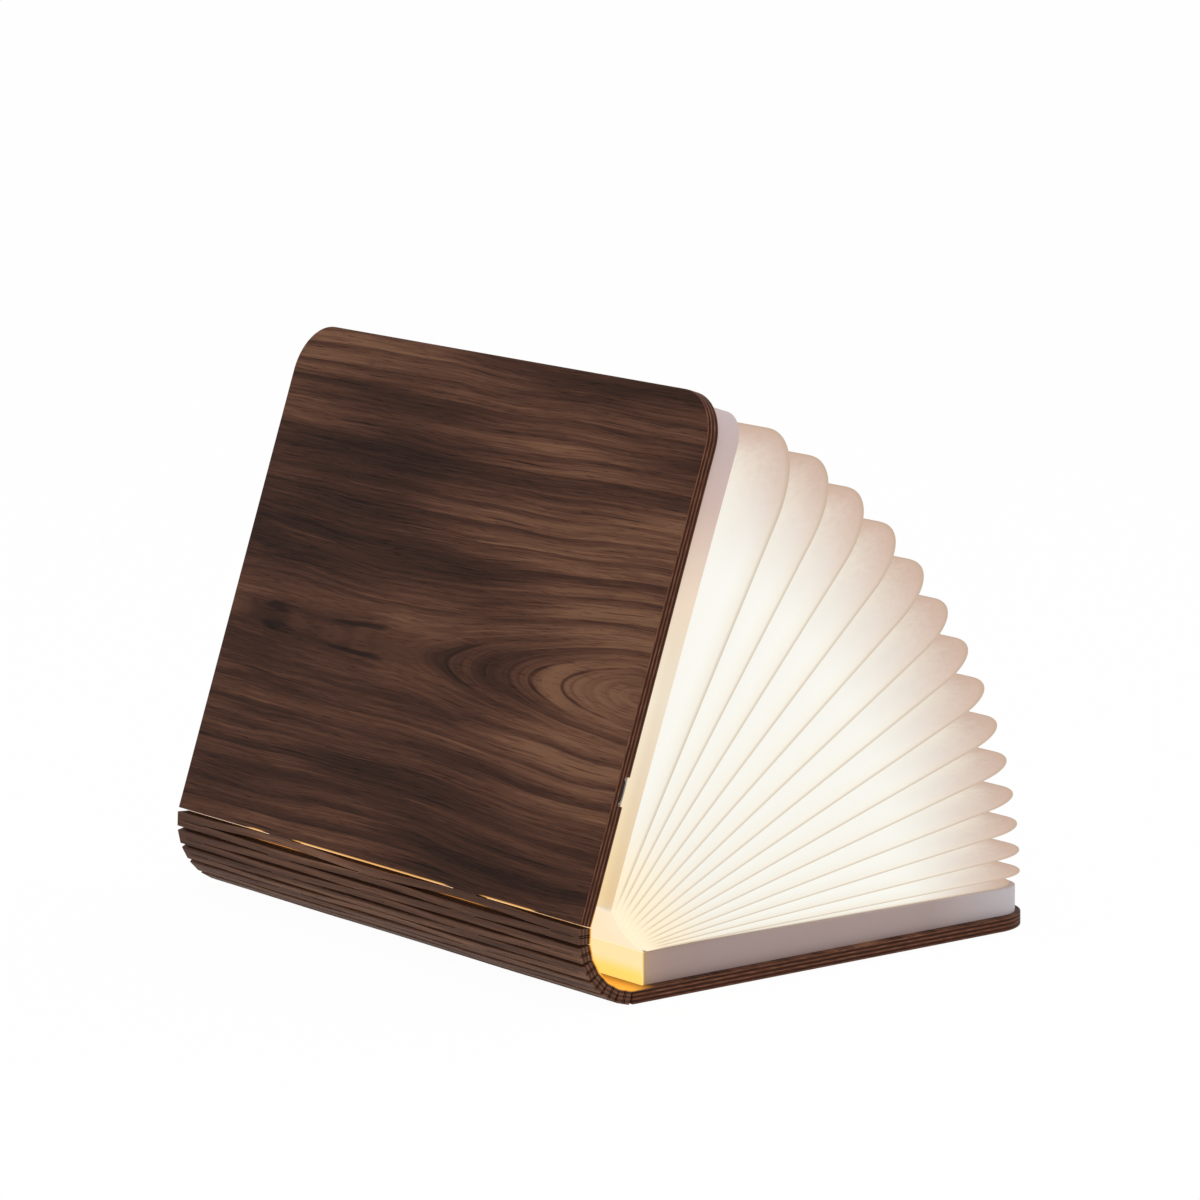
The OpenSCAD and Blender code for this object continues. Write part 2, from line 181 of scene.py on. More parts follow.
def tube(rings):
    """Points and faces of a solid whose cross-sections are the given closed rings (count, points, 3)."""
    count, around = rings.shape[:2]
    points = rings.reshape(-1, 3)
    faces = grid_faces(count, around)
    faces += [list(range(around)), list(range((count - 1) * around, count * around))[::-1]]
    return points, facing_out(points, faces)


def joined(parts):
    """Several (points, faces) as one."""
    points, faces, start = [], [], 0
    for p, f in parts:
        points.append(p)
        faces += [[start + n for n in face] for face in f]
        start += len(p)
    return np.concatenate(points), faces


def piece(name, points, faces, material, sharp=35, **attributes):
    """A mesh object from millimetres, smooth but for edges sharper than an angle in degrees.
    Each extra array is kept as an attribute of the points, for the material to read."""
    points = np.array(points, float).reshape(-1, 3)
    mesh = bpy.data.meshes.new(name)
    mesh.from_pydata((points * MM).tolist(), [], faces)
    for key, values in attributes.items():
        values = np.array(values, np.float32)
        kind, field = ("FLOAT_VECTOR", "vector") if values.ndim == 2 else ("FLOAT", "value")
        mesh.attributes.new(key, kind, "POINT").data.foreach_set(field, values.ravel())
    mesh.shade_smooth()
    mesh.set_sharp_from_angle(angle=math.radians(sharp))
    mesh.materials.append(material)
    made = bpy.data.objects.new(name, mesh)
    bpy.context.scene.collection.objects.link(made)
    return made


# %% [markdown]
# ## Materials: small helpers
# Node trees are written in Python, so a few helpers keep them short. The first ones add a node with its
# settings and inputs, and the later ones start a node group with named sockets and place it. A group gives
# only colours, masks and heights, and the Principled shader stays in each material.

# %% Node helpers
DARK = (0, 0, 0, 1)


def linear(r, g, b):
    """A colour written as on a screen, 0 to 255, in the linear values that shaders use."""
    c = np.array([r, g, b]) / 255
    c = np.where(c <= 0.04045, c / 12.92, ((c + 0.055) / 1.055) ** 2.4)
    return (*c.tolist(), 1.0)


def stops(*pairs):
    """The stops of a colour ramp from (place, (r, g, b)) pairs, with colours as on a screen."""
    return [(place, linear(*colour)) for place, colour in pairs]


def feed(tree, node, inputs):
    """Gives a node its inputs. Each is a value, or a socket that is linked to it."""
    for key, value in inputs.items():
        if isinstance(value, bpy.types.NodeSocket):
            tree.links.new(value, node.inputs[key])
        else:
            node.inputs[key].default_value = value


def add(tree, kind, inputs=None, **settings):
    """A new node with its settings and its inputs."""
    node = tree.nodes.new(kind)
    for key, value in settings.items():
        setattr(node, key, value)
    feed(tree, node, inputs or {})
    return node


def maths(tree, operation, a, b=0.0):
    """The result of one Math node."""
    return add(tree, "ShaderNodeMath", {0: a, 1: b}, operation=operation).outputs[0]


def product(tree, value, *factors):
    """A value times each factor."""
    for factor in factors:
        value = maths(tree, "MULTIPLY", value, factor)
    return value


def weighted(tree, first, *others):
    """The sum of values times weights, given as (value, weight)."""
    total = product(tree, *first)
    for pair in others:
        total = maths(tree, "ADD", total, product(tree, *pair))
    return total


def swing(tree, noise_value, width):
    """Noise, which lies round 0.5, moved to lie round 0 and given a width."""
    return product(tree, maths(tree, "SUBTRACT", noise_value, 0.5), width)


def split(tree, vector):
    """The x, y and z of a vector."""
    return add(tree, "ShaderNodeSeparateXYZ", {0: vector}).outputs


def fade(tree, value, low, high, at_low=0.0, at_high=1.0):
    """A smooth step from at_low, at low, to at_high, at high. high may be the lower one."""
    if low > high:
        low, high, at_low, at_high = high, low, at_high, at_low
    return add(tree, "ShaderNodeMapRange", {0: value, 1: low, 2: high, 3: at_low, 4: at_high},
               interpolation_type="SMOOTHSTEP").outputs[0]


def blend_colours(tree, share, a, b):
    """Colour a where share is 0 and b where it is 1."""
    return add(tree, "ShaderNodeMix", {0: share, 6: a, 7: b}, data_type="RGBA").outputs[2]


def ramp(tree, value, colour_stops):
    """A colour ramp with (place, colour) stops."""
    node = add(tree, "ShaderNodeValToRGB", {0: value})
    points = node.color_ramp.elements
    while len(points) < len(colour_stops):
        points.new(0.5)
    for point, (place, colour) in zip(points, colour_stops):
        point.position, point.color = place, colour
    return node.outputs[0]


def relief(tree, height, strength, distance):
    """The normal of a surface with a fine relief. distance is how many metres a height of 1 stands for."""
    return add(tree, "ShaderNodeBump", {"Height": height, "Strength": strength, "Distance": distance}).outputs[0]


def group(name, inputs, outputs):
    """A node group with sockets given as (name, type), its input node's sockets by name, and its output node."""
    tree = bpy.data.node_groups.new(name, "ShaderNodeTree")
    for label, kind in inputs:
        tree.interface.new_socket(label, in_out="INPUT", socket_type="NodeSocket" + kind)
    for label, kind in outputs:
        tree.interface.new_socket(label, in_out="OUTPUT", socket_type="NodeSocket" + kind)
    entry = tree.nodes.new("NodeGroupInput")
    leave = tree.nodes.new("NodeGroupOutput")
    return tree, {s.name: s for s in entry.outputs if s.name}, leave


def use(tree, grouped, **inputs):
    """The outputs of a group that is placed in a material with its own values."""
    return add(tree, "ShaderNodeGroup", inputs, node_tree=grouped).outputs


def material(name):
    """A material with its tree and its Principled shader."""
    made = bpy.data.materials.new(name)
    made.use_nodes = True
    shader = made.node_tree.nodes["Principled BSDF"]
    return made, made.node_tree, shader


# %% [markdown]
# ## Walnut plywood
# The covers and slats are one board, cut by laser, so its grain runs on over the cuts. To let one material
# do this, each wooden point carries its place on the flat board, in millimetres: x from the first fold line,
# y along the spine and z through the thickness. The growth rings show as nested arches: for
# h = sqrt((x - middle)^2 + g(y)), where g rises from 440 at y = -112 to 780 at y = 16, a line of constant h
# runs straight along y and then swings round a knot at the near end. Bands, streaks and pores are then
# noise over h.

# %% The grain
WALNUT = stops((0.0, (24, 12, 7)), (0.25, (42, 25, 18)), (0.5, (65, 40, 30)), (0.75, (93, 61, 46)),
               (1.0, (124, 88, 66)))
RINGS_PER_MM = 0.192

grain, g_in, g_out = group("walnut grain", [("Place", "Vector"), ("Middle", "Float"), ("Seed", "Float")],
                           [("Colour", "Color"), ("Height", "Float")])


def noise(tree, scales, place, seed, detail=3.0, rough=0.55):
    """Noise over a place that is stretched by a scale along each axis."""
    scaled = add(tree, "ShaderNodeVectorMath", {0: place, 1: scales}, operation="MULTIPLY").outputs[0]
    return add(tree, "ShaderNodeTexNoise", {"Vector": scaled, "W": seed, "Scale": 1.0, "Detail": detail,
                                            "Roughness": rough}, noise_dimensions="4D").outputs["Fac"]


flat_place, seed = g_in["Place"], g_in["Seed"]
seed_2, seed_3 = maths(grain, "ADD", seed, 7.3), maths(grain, "ADD", seed, 21.0)
flat_x, flat_y = split(grain, flat_place)[:2]
wander = swing(grain, noise(grain, (0.017, 0.006, 0), flat_place, seed, 2.0), 16.0)
ripple = swing(grain, noise(grain, (0.06, 0.022, 0), flat_place, seed_2, 2.0), 1.6)
across = maths(grain, "SUBTRACT", maths(grain, "ADD", flat_x, maths(grain, "ADD", wander, ripple)), g_in["Middle"])
along = fade(grain, flat_y, -112.0, 16.0, 440.0, 780.0)
ring = maths(grain, "SQRT", maths(grain, "ADD", product(grain, across, across), along))
ring_place = add(grain, "ShaderNodeCombineXYZ", {0: ring, 1: flat_y, 2: 0.0}).outputs[0]
print("walnut rings, one every", round(1 / RINGS_PER_MM, 1), "mm")

# %% [markdown]
# The tone is a weighted sum of masks: broad bands, streaks and fine lines along the rings, and clouds over
# the board make it paler. Dashes, the dark edge of each growth ring and the pores make it darker.

# %% The tone of the wood
bands = noise(grain, (0.15, 0.004, 0), ring_place, seed, 4.0, 0.6)
streaks = noise(grain, (1.3, 0.02, 0), ring_place, seed_2, 3.0, 0.6)
fine = noise(grain, (4.2, 0.045, 0), ring_place, seed_2, 2.0, 0.7)
clouds = noise(grain, (0.030, 0.006, 0), flat_place, seed_2, 1.5)
dashes = fade(grain, noise(grain, (2.0, 0.028, 0), ring_place, seed_3, 2.0, 0.5), 0.60, 0.72)
pores = fade(grain, noise(grain, (3.4, 0.13, 0), flat_place, seed, 2.0, 0.5), 0.56, 0.70)
growth = maths(grain, "FRACT", product(grain, ring, RINGS_PER_MM))
ring_edge = product(grain, fade(grain, growth, 0.45, 0.98), fade(grain, clouds, 0.40, 0.62))
tone = weighted(grain, (fade(grain, bands, 0.30, 0.70), 0.38), (fade(grain, streaks, 0.28, 0.72), 0.22),
                (fade(grain, fine, 0.25, 0.75), 0.22), (fade(grain, clouds, 0.34, 0.66), 0.46),
                (dashes, -0.34), (ring_edge, -0.26), (pores, -0.20))
feed(grain, g_out, {"Colour": ramp(grain, tone, WALNUT), "Height": weighted(grain, (tone, 0.4), (pores, -0.8))})
print("walnut grain:", len(grain.nodes), "nodes")

# %% [markdown]
# The edge of the board shows its plies: two veneers and a core of thin layers, all browned by the laser.
# A mask by z tells the edge from the two faces. Inside, next to the bellows, the wood glows in the light,
# and at the last fold line some of the light shines out through the slits.

# %% Plies and glow
BROWNED = stops((0.15, (44, 25, 18)), (0.45, (70, 41, 30)), (0.75, (105, 65, 46)), (1.0, (144, 102, 80)))
PLY_PAIR = 1.3  # mm from one dark ply to the next

plies, p_in, p_out = group("browned plies", [("Place", "Vector")], [("Colour", "Color"), ("Edge", "Float")])
ply_z = split(plies, p_in["Place"])[2]
edge_mask = product(plies, fade(plies, ply_z, 0.10, 0.30), fade(plies, ply_z, cover_t - 0.10, cover_t - 0.30))
layers = maths(plies, "SINE", product(plies, ply_z, 2 * math.pi / PLY_PAIR))
char = noise(plies, (0.25, 0.25, 3.0), p_in["Place"], 3.1, 3.0)
ply_tone = maths(plies, "ADD", product(plies, layers, 0.30), char)
feed(plies, p_out, {"Colour": ramp(plies, ply_tone, BROWNED), "Edge": edge_mask})

spine_middle = front_x / 2
SLITS = [(-87.0, -56.0), (-42.0, 44.0), (57.0, 69.0)]
SLIT_FADE = 5.0  # mm over which the light dies away towards a slit's end
PAINTED_LIGHT_WOOD, LIT_WOOD = linear(150, 118, 100), linear(210, 150, 56)
WOOD_GLOW, SLIT_GLOW = linear(212, 146, 46), linear(255, 190, 96)


def walnut(name, middle, seed, painted_light_share=0.0):
    """Plywood with its own piece of grain. The share of painted light lifts its tone, as on the slats, which take
    up more light.
    """
    made, tree, shader = material(name)
    where = add(tree, "ShaderNodeAttribute", attribute_name="place").outputs["Vector"]
    figure = use(tree, grain, Place=where, Middle=middle, Seed=seed)
    edge = use(tree, plies, Place=where)
    colour = blend_colours(tree, edge["Edge"], figure["Colour"], edge["Colour"])
    # Painted light: this copy of the walnut is blended towards a paler brown, for the extra light the slats catch.
    if painted_light_share:
        colour = blend_colours(tree, painted_light_share, colour, PAINTED_LIGHT_WOOD)
    x, y, z = split(tree, where)
    reach = maths(tree, "ABSOLUTE", maths(tree, "SUBTRACT", x, spine_middle))
    lit = product(tree, fade(tree, reach, 25.0, 13.0), fade(tree, z, cover_t - 0.7, cover_t - 0.05))
    spans = 0.0
    for low, high in SLITS:
        open_part = product(tree, fade(tree, y, low, low + SLIT_FADE), fade(tree, y, high, high - SLIT_FADE))
        spans = maths(tree, "ADD", spans, open_part)
    leak = product(tree, fade(tree, x, front_x - 0.75, front_x - 0.25), fade(tree, z, 1.6, 0.5),
                   maths(tree, "LESS_THAN", x, front_x + 0.05), spans)
    glow = blend_colours(tree, leak, blend_colours(tree, lit, DARK, WOOD_GLOW), SLIT_GLOW)
    feed(tree, shader, {
        "Base Color": blend_colours(tree, lit, colour, LIT_WOOD), "Emission Color": glow, "Emission Strength": 0.85,
        "Roughness": maths(tree, "ADD", product(tree, figure["Height"], -0.12), 0.60), "Specular IOR Level": 0.07,
        "Normal": relief(tree, figure["Height"], 0.35, 0.00012)})
    return made


base_wood = walnut("walnut of the base", 96.0, 4.2)
front_wood = walnut("walnut of the front", -98.0, 1.7)
# The slats get a copy of the walnut with painted light, lifted towards a paler brown.
slat_wood_with_painted_light = walnut("walnut of the slats with painted light", -98.0, 1.7, painted_light_share=0.12)
print("materials of the boards made")

# %% [markdown]
# ## Paper, lit from inside
# The bellows are tear-resistant white paper. The light inside shines through it, so most of its brightness
# comes out of the sheet itself: white in the valleys and near the light, beige at the outer folds and at
# the tips, which stand furthest from it. Each point of the paper carries two values: how deep it lies in
# its fold (0 outside, 1 in the valley), and its distance from the spine in mm.

# %% The paper
def paper(name, hottest):
    """Glowing paper. hottest is the colour next to the light."""
    made, tree, shader = material(name)
    depth, reach = (add(tree, "ShaderNodeAttribute", attribute_name=n).outputs["Fac"] for n in ("depth", "reach"))
    place = add(tree, "ShaderNodeTexCoord").outputs["Object"]
    fibres = add(tree, "ShaderNodeTexNoise", {"Vector": place, "Scale": 420.0, "Detail": 6.0,
                                              "Roughness": 0.75}).outputs["Fac"]
    mottle = add(tree, "ShaderNodeTexNoise", {"Vector": place, "Scale": 60.0, "Detail": 4.0}).outputs["Fac"]
    uneven = maths(tree, "ADD", swing(tree, mottle, 0.20), swing(tree, fibres, 0.34))
    far_out = fade(tree, reach, 105.0, 160.0)
    wavy = maths(tree, "ADD", depth, product(tree, uneven, far_out))
    flank = blend_colours(tree, fade(tree, wavy, -0.10, 0.22), linear(238, 230, 214), linear(245, 244, 238))
    tip = blend_colours(tree, fade(tree, wavy, 0.0, 0.62), linear(204, 176, 160), linear(242, 236, 222))
    colour = blend_colours(tree, far_out, flank, tip)
    colour = blend_colours(tree, fade(tree, reach, 34.0, 4.0), colour, hottest)
    fold = product(tree, fade(tree, depth, 0.045, 0.0), fade(tree, reach, 2.0, 10.0), 0.55)
    colour = blend_colours(tree, fold, colour, linear(190, 168, 142))
    feed(tree, shader, {
        "Base Color": blend_colours(tree, 0.62, colour, DARK), "Emission Color": colour, "Emission Strength": 0.68,
        "Roughness": 0.8, "Specular IOR Level": 0.2, "Normal": relief(tree, fibres, 0.25, 0.0001)})
    return made


leaf_paper = paper("glowing paper", linear(252, 240, 214))
root_paper = paper("paper next to the light", linear(255, 247, 224))
print("two papers")

# %% [markdown]
# ## White blocks
# Two flat white boxes carry the bellows, one on each cover. Away from the spine they lie in their own shade
# and look mauve grey. Towards the spine the light spills over them, first white and then yellow. The tone
# follows the distance along the cover, which is the dot product of the place with the cover's direction.

# %% The white shells
flat_origin = carry(front_place, [0, 0, 0])
front_way = carry(front_place, [-1, 0, 0]) - flat_origin
front_up = carry(front_place, [0, 0, 1]) - flat_origin
front_root = carry(front_place, [front_x, 0, 0])
port_x, port_w, port_deep, port_floor = 41.6, 9.0, 11.2, cover_t - 2.0
YELLOW_GLOW, SHADED_GLOW, PORT_SHADE_GLOW = linear(244, 206, 104), linear(150, 120, 96), linear(112, 80, 70)


def distance_along(tree, place, way, start, beyond=0.0):
    """How far a place lies along a direction, in metres, from a point in mm or so many mm beyond it."""
    along = add(tree, "ShaderNodeVectorMath", {0: place, 1: [float(n) for n in way]}, operation="DOT_PRODUCT")
    return maths(tree, "SUBTRACT", along.outputs["Value"], (float(np.dot(way, start)) + beyond) * MM)


def white_shell(name, way, start, colours, glows, yellow_below=None, up=None):
    """White plastic whose painted shade and painted light follow the distance along its cover. The colour stops
    hold the painted shade, mauve grey away from the spine and lighter towards the fore-edge, and the glow stops
    hold the painted light that spills from the spine. Stops are (mm, colour).
    The end next to the spine turns yellow below a height in mm, where the light grazes the wood. Where up is
    given, the glow fades with the distance from the cover, and round the frame of the charging port the glow
    drops to a dull brown, a painted shade."""
    made, tree, shader = material(name)
    place = add(tree, "ShaderNodeTexCoord").outputs["Object"]
    share = maths(tree, "DIVIDE", distance_along(tree, place, way, start), cover_w * MM)
    colour, glow = (ramp(tree, share, [(mm / cover_w, c) for mm, c in s]) for s in (colours, glows))
    if yellow_below:
        height = split(tree, place)[2]
        low_end = product(tree, fade(tree, height, (yellow_below + 3.5) * MM, (yellow_below - 1) * MM),
                          fade(tree, share, 6.6 / cover_w, 6.1 / cover_w))
        glow = blend_colours(tree, low_end, glow, YELLOW_GLOW)
    if up is not None:
        above = distance_along(tree, place, up, start, cover_t)
        shaded = product(tree, fade(tree, above, 1.5 * MM, 6.5 * MM), fade(tree, share, 0.75, 0.3), 0.42)
        glow = blend_colours(tree, shaded, glow, SHADED_GLOW)
        # Painted shade round the notch of the charging port: the glow drops to a dull brown there.
        from_port = maths(tree, "ABSOLUTE", maths(tree, "SUBTRACT", share, port_x / cover_w))
        painted_port_shade = product(tree, fade(tree, from_port, 5.2 / cover_w, 4.6 / cover_w),
                          fade(tree, above, 1.7 * MM, 1.3 * MM),
                          maths(tree, "LESS_THAN", split(tree, place)[1], (6 - half_l) * MM))
        glow = blend_colours(tree, painted_port_shade, glow, PORT_SHADE_GLOW)
    grit = add(tree, "ShaderNodeTexNoise", {"Vector": place, "Scale": 900.0, "Detail": 2.0}).outputs["Fac"]
    feed(tree, shader, {"Base Color": colour, "Emission Color": glow, "Emission Strength": 1.0, "Roughness": 0.55,
                        "Normal": relief(tree, grit, 0.08, 0.00005)})
    return made


# Each block's colour stops are painted shade, and its glow stops are painted light from the spine.
base_white = white_shell(
    "white of the base block", (1, 0, 0), (hinge_x, 0, 0),
    stops((5.9, (120, 112, 90)), (6.2, (170, 142, 112)), (10, (165, 140, 130)), (30, (166, 144, 140)),
          (120, (172, 152, 148)), (158, (200, 194, 198))),
    stops((5.9, (240, 234, 208)), (6.02, (240, 232, 200)), (6.3, (235, 190, 70)), (7.0, (70, 54, 40)),
          (16, (24, 18, 16)), (26, (0, 0, 0))), yellow_below=7.5)
front_white = white_shell(
    "white of the front block", front_way, front_root,
    stops((5.9, (150, 150, 140)), (10, (150, 140, 110)), (50, (165, 160, 148)), (90, (165, 155, 140)),
          (125, (180, 160, 152)), (158, (190, 172, 172))),
    stops((5.9, (226, 226, 216)), (7, (214, 180, 128)), (40, (206, 184, 146)), (70, (206, 196, 174)),
          (100, (190, 172, 150)), (130, (128, 108, 98)), (158, (62, 54, 54))), up=front_up)
print("two white shells")

# %% [markdown]
# ## What lies inside
# Battery, boards, magnets and socket are simple shapes from the solids. Each still gets a finish with some
# unevenness: one group gives a mottled colour and a fine relief, and each material sets its own values.

# %% Finishes of the inner parts
uneven_finish, u_in, u_out = group("uneven finish", [("Colour", "Color"), ("Scale", "Float"), ("Amount", "Float")],
                                   [("Colour", "Color"), ("Height", "Float")])
u_place = add(uneven_finish, "ShaderNodeTexCoord").outputs["Object"]
u_noise = add(uneven_finish, "ShaderNodeTexNoise", {"Vector": u_place, "Scale": u_in["Scale"],
                                                    "Detail": 4.0}).outputs["Fac"]
u_share = product(uneven_finish, fade(uneven_finish, u_noise, 0.3, 0.7), u_in["Amount"])
u_darker = blend_colours(uneven_finish, 0.45, u_in["Colour"], DARK)
feed(uneven_finish, u_out, {"Colour": blend_colours(uneven_finish, u_share, u_in["Colour"], u_darker),
                            "Height": u_noise})


def finish(name, colour, scale, amount, rough, metal=0.0, glow=0.0):
    """A material of one colour made uneven, with its roughness and metalness. glow is how strongly it shines."""
    made, tree, shader = material(name)
    mottled = use(tree, uneven_finish, Colour=colour, Scale=scale, Amount=amount)
    feed(tree, shader, {"Base Color": mottled["Colour"], "Roughness": rough, "Metallic": metal,
                        "Normal": relief(tree, mottled["Height"], 0.2, 0.0001)})
    if glow:
        feed(tree, shader, {"Emission Color": mottled["Colour"], "Emission Strength": glow})
    return made


finishes = {
    "steel": finish("sheet steel", linear(120, 121, 124), 300, 0.5, 0.4, 1.0),
    "magnet": finish("nickel of the magnets", linear(196, 196, 200), 500, 0.3, 0.25, 1.0),
    "cell": finish("film of the battery", linear(160, 168, 182), 120, 0.4, 0.35, 0.7),
    "board_green": finish("green circuit board", linear(24, 84, 48), 400, 0.5, 0.4),
    # The white board glows a little: painted light, as from the light chips next to it.
    "board_white": finish("white circuit board with painted light", linear(232, 232, 228), 400, 0.2, 0.4, 0.0, 0.4),
    "chip_black": finish("moulded chips", linear(34, 34, 36), 700, 0.4, 0.5),
    "led": finish("light chips", linear(250, 224, 130), 900, 0.1, 0.3, 0.0, 2.0),
    "diffuser": finish("opal diffuser", linear(255, 246, 226), 200, 0.1, 0.4, 0.0, 1.0),
    "socket_metal": finish("drawn steel of the socket", linear(150, 138, 128), 600, 0.5, 0.3, 1.0),
    "wire": finish("insulation of the leads", linear(170, 36, 34), 500, 0.2, 0.5),
    "channel": finish("bare aluminium", linear(202, 202, 204), 260, 0.3, 0.35, 1.0),
}
slot_of = {s["node"]: s["material_slot"] for s in frame["record"]["subparts"]}
for name, node in frame["nodes"].items():
    if slot_of[name] in finishes:
        chosen = finishes[slot_of[name]]
    elif slot_of[name] == "shell_white":
        chosen = base_white if name.startswith("base") else front_white
    elif slot_of[name] == "paper":
        chosen = root_paper
    else:
        chosen = front_wood if name.startswith("front") else base_wood
    node.data.materials.clear()
    node.data.materials.append(chosen)
print("finishes on", len(frame["nodes"]), "solids")

# %% [markdown]
# ## The covers
# Each cover is three layers: a veneer, a core and a veneer. A layer is an outline carried through the
# thickness in rings, and near the open faces each ring is drawn in a little, so that the arris is rounded
# and catches the light. The corners at the fore-edge are round and those at the spine are square. The front
# cover has a notch at its near end, where the charging socket sits.

# %% Layers of the covers
ARRIS = 0.4
ARRIS_STEPS = [90, 60, 30, 0]
CORNER_POINTS = 15


def outline(low, high, half, corner, notch=None):
    """Points and outward normals round a board from (low, -half) to (high, half), with two round corners.
    A notch is given as (middle, width, depth) and lies at the near end."""
    turn = np.radians(np.linspace(0, 90, CORNER_POINTS))
    arc = np.stack([np.sin(turn), -np.cos(turn)], -1)
    near = np.array([high - corner, -half + corner]) + corner * arc
    far = (near * [1, -1])[::-1]
    points, normals = [[low, -half]], [[-0.7, -0.7]]
    if notch:
        middle, width, deep = notch
        for x, y, side in ((-width / 2, 0, 1), (-width / 2, deep, 1), (width / 2, deep, -1), (width / 2, 0, -1)):
            points.append([middle + x, -half + y])
            normals.append([side, -1])
    points = np.concatenate([points, near, far, [[low, half]]])
    normals = np.concatenate([normals, arc, (arc * [1, -1])[::-1], [[-0.7, 0.7]]])
    return points, normals


def layer(shape, z_low, z_high, round_low=0.0, round_high=0.0):
    """A solid layer: the outline at each height, drawn in by r (1 - cos a) where a face is rounded."""
    points, normals = shape
    steps = []
    for z, r, way in ((z_low, round_low, 1), (z_high, round_high, -1)):
        a = np.radians(ARRIS_STEPS if r else [0])
        end = [(r * (1 - math.cos(n)), z + way * r * (1 - math.sin(n))) for n in a]
        steps += end if way > 0 else end[::-1]
    rings = [np.column_stack([points - inset * normals, np.full(len(points), z)]) for inset, z in steps]
    return tube(np.array(rings))


def on_base(points):
    """From the flat board to the base cover."""
    return carry(shift_by(hinge_x, 0), points)


def mirrored(points):
    """From a cover drawn like the base to the front cover's place on the flat board."""
    return np.array(points) * [-1, 1, 1] + [front_x, 0, 0]


def board_layer(name, cover, z_low, z_high, round_low, round_high, notched):
    """One layer of a cover as a piece that carries its place on the flat board. A notched layer is whole up to
    the floor of the charging port and cut out above it."""
    whole = outline(kerf / 2, cover_w, half_l, corner_r)
    cut = outline(kerf / 2, cover_w, half_l, corner_r, (port_x, port_w, port_deep))
    if notched and z_low < port_floor:
        flat, faces = joined([layer(whole, z_low, port_floor, round_low, 0),
                              layer(cut, port_floor, z_high, 0, round_high)])
    else:
        flat, faces = layer(cut if notched else whole, z_low, z_high, round_low, round_high)
    if cover == "front":
        flat, faces = mirrored(flat), [f[::-1] for f in faces]
    points = on_base(flat) if cover == "base" else carry(front_place, flat)
    made = piece(name, points, faces, base_wood if cover == "base" else front_wood, place=flat)
    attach(made, "base" if cover == "base" else "front_cover")
    return made


for cover in ("base", "front"):
    notched = cover == "front"
    heights = {"outer_veneer": (0, veneer_t, ARRIS, 0, False),
               "core": (veneer_t, cover_t - veneer_t, 0, 0, notched),
               "inner_veneer": (cover_t - veneer_t, cover_t, 0, ARRIS, notched)}
    for part, (low, high, r_low, r_high, cut) in heights.items():
        made = board_layer(f"{cover}_{part}_board", cover, low, high, r_low, r_high, cut)
        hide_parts(f"{cover}_{part}")
print("two covers of three layers")

# %% [markdown]
# The charging socket looks out through the notch. Its mouth is a drawn lip round a dark plate, a painted shade
# that stands for the hollow inside the socket. Both have the rounded-rectangle outline |x / a|^4 + |z / b|^4 = 1.

# %% The mouth of the charging socket
LIP_HALF, HOLE_HALF, OPENING_HALF = (4.0, 1.45), (3.5, 0.95), (3.45, 0.9)
LIP_LENGTH = 0.3
mouth_y, mouth_z = 3.0 - half_l, cover_t - 0.15


def rounded_loop(half, y, count=40):
    """Points round a rounded rectangle in the X-Z plane: each direction is drawn out to the power 4 curve."""
    a = np.linspace(0, 2 * np.pi, count, endpoint=False)
    x, z = (h * np.sign(c) * np.sqrt(abs(c)) for h, c in zip(half, (np.cos(a), np.sin(a))))
    return np.stack([port_x + x, np.full(count, y), mouth_z + z], -1)


def on_front(points):
    """From a cover drawn like the base to the front cover as it stands."""
    return carry(front_place, mirrored(points))


lip_y = mouth_y - LIP_LENGTH
lip = np.stack([rounded_loop(LIP_HALF, mouth_y), rounded_loop(LIP_HALF, lip_y), rounded_loop(HOLE_HALF, lip_y),
                rounded_loop(HOLE_HALF, mouth_y)])
loops, around = lip.shape[:2]
lip_points = on_front(lip.reshape(-1, 3))
closed_ring = np.array(grid_faces(loops + 1, around)) % (loops * around)
lip_faces = facing_out(lip_points, closed_ring.tolist())
# The dark plate just inside the lip is painted shade: it stands for the hollow of the socket.
opening_points, opening_faces = tube(on_front(np.stack([rounded_loop(OPENING_HALF, mouth_y - 0.1),
                                                        rounded_loop(OPENING_HALF, mouth_y + 0.05)])))
for name, points, faces, shown in (("socket_lip", lip_points, lip_faces, "socket_metal"),
                                   ("socket_opening", opening_points, opening_faces, "chip_black")):
    made = piece(name, points, faces, finishes[shown])
    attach(made, "front_cover")
print("socket mouth", around, "points round")

# %% [markdown]
# ## The slatted spine
# Seven rows of cuts let the board bend. A slat lies between two rows, and a row of its own splits it into
# two thin bars, which hold together at its middle and at its ends. Towards the neighbours each bar holds on
# by a bridge half way between. So where the spine is bent, every bar is twisted: from no turn at its own slat's
# bridges to half of the bend at the bridge to the next slat, or the whole bend at a cover. A bar is a
# rectangle with small chamfers carried along y, and each section is turned about the fold line by that share
# of the bend at rest. The twisted bars then ride on their slat.

# %% Twisted bars
bridge_pitch, bridge_l = 99.0, 12.0
end_bridge_l, overlap = 14.5, 0.3
CHAMFER, OUTER_CHAMFER = 0.03, 0.14


def eased(t):
    """3 t^2 - 2 t^3 between 0 and 1."""
    t = np.clip(t, 0, 1)
    return t * t * (3 - 2 * t)


def bar_section(x_low, x_high, low_cut, high_cut):
    """The rectangle of a bar in (x, z), with the corners of each side cut off by its own amount."""
    a, b = low_cut, high_cut
    return np.array([[x_low + a, 0], [x_high - b, 0], [x_high, b], [x_high, cover_t - b],
                     [x_high - b, cover_t], [x_low + a, cover_t], [x_low, cover_t - a], [x_low, a]])


